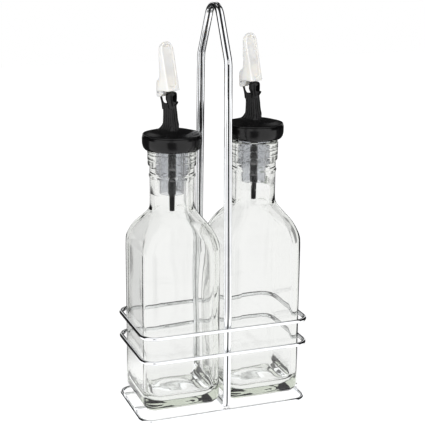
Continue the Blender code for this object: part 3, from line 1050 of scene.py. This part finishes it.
def build_pourers():
    """Both pourers share their meshes' shapes. The right one is lifted."""
    dark, tube, frosted = dark_plastic_material(), tube_material(), stopper_material()
    milky, steel = flap_material(), pin_material()
    meshes = {
        "collar": (collar_mesh(), dark, "collar_plastic", "collar_ring"),
        "dome": (dome_mesh(), dark, "spout_plastic", "spout_cap"),
        "spout": (spout_mesh(), dark, "spout_plastic", "spout_cap"),
        "stopper": (stopper_mesh(), frosted, "stopper_plastic", "stopper"),
        "tube": (tube_mesh(), tube, "tube_plastic", "pour_tube"),
    }
    flap, pin = flap_mesh(), pin_mesh()
    across = Matrix.Rotation(math.pi / 2, 4, "X")
    for side in SIDES:
        place = pourer_frame(side)
        for name, (mesh, material, slot, node) in meshes.items():
            label = f"{name}_{side}"
            add_piece(label, mesh.copy(), place, material, f"pourer_{side}", slot, f"{node}_{side}")
        s, z = hinge_place(side)
        hinge = place @ shift(s, 0, z)
        lever = f"lever_{side}"
        add_piece(lever, flap.copy(), hinge, milky, lever, "flap_plastic", f"flap_{side}")
        pin_place = hinge @ across
        node = f"hinge_pin_{side}"
        add_piece(f"pin_{side}", pin.copy(), pin_place, steel, f"pourer_{side}", "pin_steel", node)


# ------------------------------------------------------------------ studio
CAMERA_AZIMUTH = math.radians(-20.5)
CAMERA_ELEVATION = math.radians(14.9)
CAMERA_ROLL = math.radians(0.45)
CAMERA_DISTANCE = 800.0
CAMERA_TARGET = Vector((-0.45, 0.0, 146.0))
CAMERA_LENS = 92.08
SENSOR_WIDTH = 36.0
FILL_SIZE = 900.0
FILL_DISTANCE = 1500.0
FILL_WATTS = 7.5


def camera_axes():
    """Right, up and back of the camera."""
    flat = math.cos(CAMERA_ELEVATION)
    level = math.sin(CAMERA_AZIMUTH) * flat, -math.cos(CAMERA_AZIMUTH) * flat
    back = Vector((*level, math.sin(CAMERA_ELEVATION)))
    right = Vector((0, 0, 1)).cross(back).normalized()
    up = back.cross(right)
    roll = Matrix.Rotation(CAMERA_ROLL, 3, back)
    return roll @ right, roll @ up, back


def facing_place(distance):
    """A place that faces the target from the camera's side."""
    right, up, back = camera_axes()
    place = Matrix((right, up, back)).transposed().to_4x4()
    place.translation = (CAMERA_TARGET + back * distance) * MM
    return place


def build_camera():
    data = bpy.data.cameras.new("camera")
    data.sensor_width = SENSOR_WIDTH
    data.lens = CAMERA_LENS
    data.clip_start = 0.05
    data.clip_end = 50.0
    camera = bpy.data.objects.new("camera", data)
    bpy.context.scene.collection.objects.link(camera)
    camera.matrix_world = facing_place(CAMERA_DISTANCE)
    bpy.context.scene.camera = camera


def build_fill_light():
    """A broad soft light from the front that the shiny surfaces don't mirror."""
    data = bpy.data.lights.new("front_fill", "AREA")
    data.shape = "DISK"
    data.size = FILL_SIZE * MM
    data.energy = FILL_WATTS
    lamp = bpy.data.objects.new("front_fill", data)
    bpy.context.scene.collection.objects.link(lamp)
    lamp.matrix_world = facing_place(FILL_DISTANCE)
    lamp.visible_camera = False
    lamp.visible_glossy = False
    lamp.visible_transmission = False


class Nodes:
    """Short ways to add nodes to a tree."""

    def __init__(self, tree):
        self.tree = tree

    def add(self, kind, **settings):
        made = self.tree.nodes.new(kind)
        for key, value in settings.items():
            setattr(made, key, value)
        return made

    def plug(self, source, target):
        if hasattr(source, "links"):
            self.tree.links.new(source, target)
        else:
            target.default_value = source

    def dot(self, source, direction):
        made = self.add("ShaderNodeVectorMath", operation="DOT_PRODUCT")
        self.plug(source, made.inputs[0])
        made.inputs[1].default_value = direction
        return made.outputs["Value"]

    def maths(self, operation, first, second):
        made = self.add("ShaderNodeMath", operation=operation)
        self.plug(first, made.inputs[0])
        self.plug(second, made.inputs[1])
        return made.outputs["Value"]

    def step(self, source, low, high):
        """0 below low, 1 above high, and a smooth rise between."""
        made = self.add("ShaderNodeMapRange", interpolation_type="SMOOTHSTEP")
        self.plug(source, made.inputs["Value"])
        made.inputs["From Min"].default_value = low
        made.inputs["From Max"].default_value = high
        return made.outputs["Result"]

    def mix(self, share, first, second):
        """first where share is 0, second where it is 1."""
        made = self.add("ShaderNodeMix", data_type="FLOAT")
        self.plug(share, made.inputs["Factor"])
        self.plug(first, made.inputs["A"])
        self.plug(second, made.inputs["B"])
        return made.outputs["Result"]

    def ramp(self, source, stops):
        made = self.add("ShaderNodeValToRGB")
        elements = made.color_ramp.elements
        for k, (position, value) in enumerate(stops):
            stop = elements[k] if k < 2 else elements.new(position)
            stop.position = position
            stop.color = (value, value, value, 1.0)
        self.plug(source, made.inputs["Fac"])
        return made.outputs["Color"]


def horizontal(azimuth):
    """The level direction towards this azimuth, where 0 is the front."""
    return Vector((math.sin(azimuth), -math.cos(azimuth), 0.0))


WHITE = (1.0, 1.0, 1.0, 1.0)
FLOOR_REACH = 2.0
FLOOR_DROP = 0.0001
# distances over the floor towards the camera, in metres, where its bright part starts behind the object
# and where the dim gap in it starts in front
BRIGHT_FROM = (-0.08, -0.03)
GAP_START = (0.2, 0.3)
GAP_EDGE = (math.radians(20.0), math.radians(14.0))
FLOOR_BRIGHT = 1.3
FLOOR_DARK = 0.01
FLOOR_GAP = 0.12
FLOOR_THROUGH_GLASS = 0.88
FLOOR_SEEN = 0.85
FLOOR_COLOUR = (0.05, 0.35)  # for light that bounces, and as seen


def build_floor():
    """A white floor. What mirrors it sees it dark behind the object and with a dim gap in front."""
    mesh = bpy.data.meshes.new("floor")
    corners = [(x * FLOOR_REACH, y * FLOOR_REACH, 0) for x, y in ((-1, -1), (1, -1), (1, 1), (-1, 1))]
    mesh.from_pydata(corners, [], [(0, 1, 2, 3)])
    floor = bpy.data.objects.new("floor", mesh)
    bpy.context.scene.collection.objects.link(floor)
    floor.location.z = -FLOOR_DROP
    material, tree, shader = new_material("white_floor")
    nodes = Nodes(tree)
    shader.inputs["Roughness"].default_value = 1.0
    shader.inputs["Specular IOR Level"].default_value = 0.0
    shader.inputs["Emission Color"].default_value = WHITE

    place = nodes.add("ShaderNodeTexCoord").outputs["Object"]
    ahead = nodes.dot(place, horizontal(CAMERA_AZIMUTH))
    aside = nodes.dot(place, horizontal(CAMERA_AZIMUTH + math.pi / 2))
    angle = nodes.maths("ABSOLUTE", nodes.maths("ARCTAN2", aside, ahead), 0.0)
    near = nodes.step(ahead, *BRIGHT_FROM)
    gap = nodes.maths("MULTIPLY", nodes.step(angle, *GAP_EDGE), nodes.step(ahead, *GAP_START))
    mirrored = nodes.mix(gap, nodes.mix(near, FLOOR_DARK, FLOOR_BRIGHT), FLOOR_GAP)
    through_glass = nodes.mix(gap, FLOOR_THROUGH_GLASS, FLOOR_GAP)

    path = nodes.add("ShaderNodeLightPath")
    seen, through = path.outputs["Is Camera Ray"], path.outputs["Is Transmission Ray"]
    glow = nodes.mix(seen, nodes.mix(through, mirrored, through_glass), FLOOR_SEEN)
    nodes.plug(nodes.mix(seen, *FLOOR_COLOUR), shader.inputs["Base Color"])
    nodes.plug(glow, shader.inputs["Emission Strength"])
    mesh.materials.append(material)


# degrees round from the camera, and the light that comes from there: first what surfaces mirror, then
# what is seen through the glass
REFLECTED = (
    (6, 0.5),
    (10, 1.35),
    (64, 1.35),
    (71, 0.01),
    (149, 0.01),
    (153, 1.0),
    (164, 1.0),
    (168, 0.02),
)
REFRACTED = (
    (0, 1.0),
    (77, 0.95),
    (81, 0.2),
    (97, 0.2),
    (101, 0.9),
    (122, 0.9),
    (126, 0.3),
    (144, 0.3),
    (148, 0.94),
)
# the big lamp overhead, tilted towards the camera
LAMP_TILT = math.radians(43.0)
LAMP_EDGE = (0.68, 0.76)
MIRRORED_LAMP = (0.04, 1.25)  # beside it and inside it
LAMP_THROUGH_GLASS = (0.75, 1.0)
# sine of the elevation where the ring of strips gives way to the lamp
MIRRORED_TOP = (0.62, 0.75)
TOP_THROUGH_GLASS = (0.16, 0.26)


def mirrored_stops(stops):
    """Ramp stops for both sides, from an angle in degrees that runs from -180 to 180."""
    both = [(0.5 + side * degrees / 360, value) for side in (-1, 1) for degrees, value in stops]
    return [(0.0, stops[-1][1]), (1.0, stops[-1][1]), *sorted(set(both))]


def build_world():
    """A white studio: big soft boxes in front and behind, and dark gaps between them to draw the edges."""
    world = bpy.data.worlds.new("studio")
    bpy.context.scene.world = world
    world.use_nodes = True
    world.node_tree.nodes.clear()
    nodes = Nodes(world.node_tree)
    way = nodes.add("ShaderNodeTexCoord").outputs["Generated"]
    toward, right = horizontal(CAMERA_AZIMUTH), horizontal(CAMERA_AZIMUTH + math.pi / 2)
    angle = nodes.maths("ARCTAN2", nodes.dot(way, right), nodes.dot(way, toward))
    share = nodes.maths("ADD", nodes.maths("DIVIDE", angle, 2 * math.pi), 0.5)
    height = nodes.dot(way, (0.0, 0.0, 1.0))
    lamp_way = toward * math.sin(LAMP_TILT) + Vector((0, 0, math.cos(LAMP_TILT)))
    lamp = nodes.step(nodes.dot(way, lamp_way), *LAMP_EDGE)

    def ring_and_lamp(stops, top, brightness):
        ring = nodes.ramp(share, mirrored_stops(stops))
        return nodes.mix(nodes.step(height, *top), ring, nodes.mix(lamp, *brightness))

    mirrored = ring_and_lamp(REFLECTED, MIRRORED_TOP, MIRRORED_LAMP)
    through_glass = ring_and_lamp(REFRACTED, TOP_THROUGH_GLASS, LAMP_THROUGH_GLASS)

    path = nodes.add("ShaderNodeLightPath")
    light = nodes.mix(path.outputs["Is Transmission Ray"], mirrored, through_glass)
    light = nodes.mix(path.outputs["Is Camera Ray"], light, 1.0)
    background = nodes.add("ShaderNodeBackground")
    background.inputs["Color"].default_value = WHITE
    nodes.plug(light, background.inputs["Strength"])
    output = nodes.add("ShaderNodeOutputWorld")
    nodes.plug(background.outputs["Background"], output.inputs["Surface"])
    bpy.context.scene.view_settings.view_transform = "Standard"


# ------------------------------------------------------------------ build
chrome = chrome_material()
build_loop("base_loop", BASE_CORNER, chrome)
build_loop("lower_rail", RAIL_CORNER, chrome)
build_loop("upper_rail", RAIL_CORNER, chrome)
build_handle(chrome)
build_floor_bars(chrome)
build_welds(weld_material())
glass = glass_material()
for side in SIDES:
    build_bottle(side, glass)
build_pourers()
build_floor()
build_fill_light()
build_world()
build_camera()
